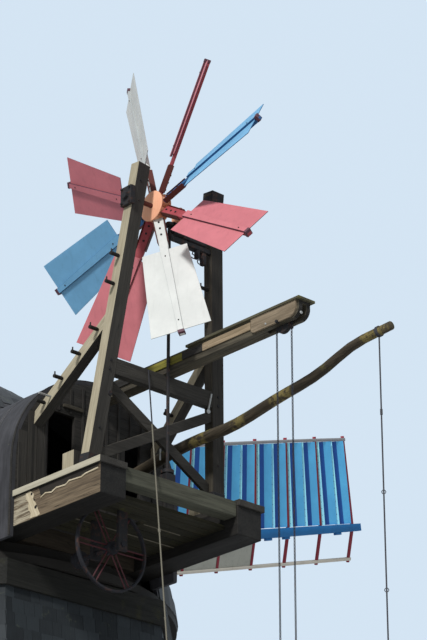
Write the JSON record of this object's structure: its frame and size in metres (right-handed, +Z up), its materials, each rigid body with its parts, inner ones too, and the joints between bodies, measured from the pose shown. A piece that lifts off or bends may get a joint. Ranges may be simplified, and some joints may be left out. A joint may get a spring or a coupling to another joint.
{
  "type": "traditional smock windmill",
  "caption": "Eight-sided smock windmill on a brick base, with a turning cap, a rear fan on a timber trestle, a brake lever and shuttered sails.",
  "frame": {"origin": "on the ground, on the tower's axis, which the cap turns about", "axes": "+Z up, +Y from the tower to the sails at rest, so the fan is at -Y, +X to the right seen from behind the fan"},
  "size_m": [20.2668, 11.7821, 21.8496],
  "materials": {
    "brick": "laid brick",
    "shingle": "weathered dark shingles",
    "boards": "planed floor boards",
    "stone_floor": "stone flags",
    "door_paint": "painted boards",
    "white_paint": "white paint on wood",
    "pane": "clear",
    "curb_wood": "weathered, greenish",
    "dark_wood": "tarred timber",
    "weathered_oak": "weathered oak",
    "coping_wood": "weathered grey boards",
    "felt": "dark roofing felt",
    "iron": "dark iron",
    "salmon": "weathered paint",
    "red": "gloss paint",
    "red_wood": "gloss paint on wood",
    "white_board": "gloss paint on wood",
    "blue_wood": "gloss paint on wood",
    "grey_board": "weathered paint",
    "rope": "hemp rope",
    "chain": "dull steel"
  },
  "bodies": {
    "tower": {"base_wall_left": "brick", "base_wall_right": "brick", "base_wall_over_door": "brick", "smock_wall_left": "shingle", "smock_wall_right": "shingle", "floor_ground": "stone_floor", "upper_floors": "boards", "door_frame": "white_paint", "window_frames": "white_paint", "window_panes": "pane", "curb": "curb_wood"},
    "door": {"door_leaf": "door_paint"},
    "sails": {"windshaft": "iron", "stock_a": "blue_wood", "stock_b": "blue_wood", "sail_frame_1": "red_wood", "sail_frame_2": "red_wood", "sail_frame_3": "red_wood", "sail_frame_4": "red_wood", "shutters": "blue_wood", "lead_boards": "grey_board"},
    "fan": {"fan_hub": "salmon", "fan_arms": "red", "fan_blades_red": "red_wood", "fan_blades_white": "white_board", "fan_blades_blue": "blue_wood"},
    "drive": {"drive_shaft": "iron"},
    "wheel": {"hand_wheel": "red"},
    "lever": {"brake_lever": "weathered_oak", "brake_rope": "rope"},
    "cap": {"cap_ring": "dark_wood", "long_beam_left": "weathered_oak", "long_beam_right": "weathered_oak", "copings": "coping_wood", "fan_post_left": "weathered_oak", "fan_post_right": "weathered_oak", "fan_struts": "weathered_oak", "post_heels": "weathered_oak", "end_beam": "weathered_oak", "stage_deck": "boards", "cap_cross_beams": "dark_wood", "shaft_bearings": "dark_wood", "dome_roof": "shingle", "barrel_roof_rear": "felt", "barrel_roof_front": "felt", "gable_rear": "dark_wood", "gable_front": "dark_wood", "fan_rail": "weathered_oak", "fan_braces": "weathered_oak", "climbing_pegs": "iron", "fan_bearings": "iron", "drive_bearing": "iron", "drive_head": "iron", "wheel_hangers": "iron", "striking_beam": "weathered_oak", "chain_wheel": "iron", "striking_chain": "chain", "lever_stand": "dark_wood", "guide_rope": "rope"}
  },
  "joints": [
    {"name": "cap_turn", "type": "hinge", "parent": "tower", "child": "cap", "pos_m": [0, 0, 10.19], "axis": [0, 0, 1], "continuous": true},
    {"name": "sails_turn", "type": "hinge", "parent": "cap", "child": "sails", "pos_m": [0, 3.43, 11.835], "axis": [0, 0.9877, 0.1564], "continuous": true},
    {"name": "fan_turn", "type": "hinge", "parent": "cap", "child": "fan", "pos_m": [-0.27, -3.98678, 14.03011], "axis": [1, 0, 0], "continuous": true},
    {"name": "drive_turn", "type": "hinge", "parent": "cap", "child": "drive", "pos_m": [-0.075, -3.98678, 12], "axis": [0, 0, 1], "continuous": true},
    {"name": "wheel_turn", "type": "hinge", "parent": "cap", "child": "wheel", "pos_m": [-0.37, -3.45, 10.24], "axis": [0, 1, 0], "continuous": true},
    {"name": "lever_swing", "type": "hinge", "parent": "cap", "child": "lever", "pos_m": [0.5, -2.35, 11.43], "axis": [-1, 0, 0], "range_deg": [-5, 2.5]},
    {"name": "door_swing", "type": "hinge", "parent": "tower", "child": "door", "pos_m": [-0.4997, -3.786, 1.1], "axis": [0, 0, -1], "range_deg": [0, 95]}
  ],
  "couplings": [
    {"joint": "drive_turn", "follows": "fan_turn", "ratio": 1},
    {"joint": "wheel_turn", "follows": "fan_turn", "ratio": 0.1}
  ]
}
